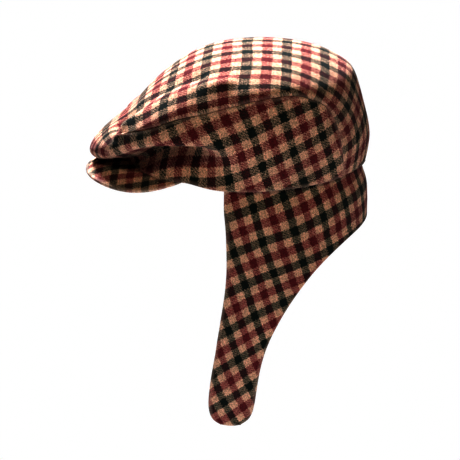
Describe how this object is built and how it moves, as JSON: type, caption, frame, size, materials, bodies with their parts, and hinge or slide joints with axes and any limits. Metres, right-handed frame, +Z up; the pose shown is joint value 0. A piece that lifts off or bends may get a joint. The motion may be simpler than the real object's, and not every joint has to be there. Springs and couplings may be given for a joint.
{
  "type": "flat cap with ear flaps",
  "caption": "Woven wool check cap with a soft crown that folds over a short stiff peak, and long ear flaps joined behind as a nape curtain.",
  "frame": {"origin": "middle of the head opening at the height of the hem, where the hat sits on a head", "axes": "+Z up, -Y towards the peak, +X towards the wearer's left"},
  "size_m": [0.184, 0.2527, 0.3534],
  "materials": {
    "wool_check": "woven wool twill in a green, cream and red check"
  },
  "bodies": {
    "root": {"crown_top": "wool_check", "side_panel_left": "wool_check", "side_panel_right": "wool_check", "brim": "wool_check", "ear_flap_left": "wool_check", "ear_flap_right": "wool_check"}
  },
  "joints": []
}
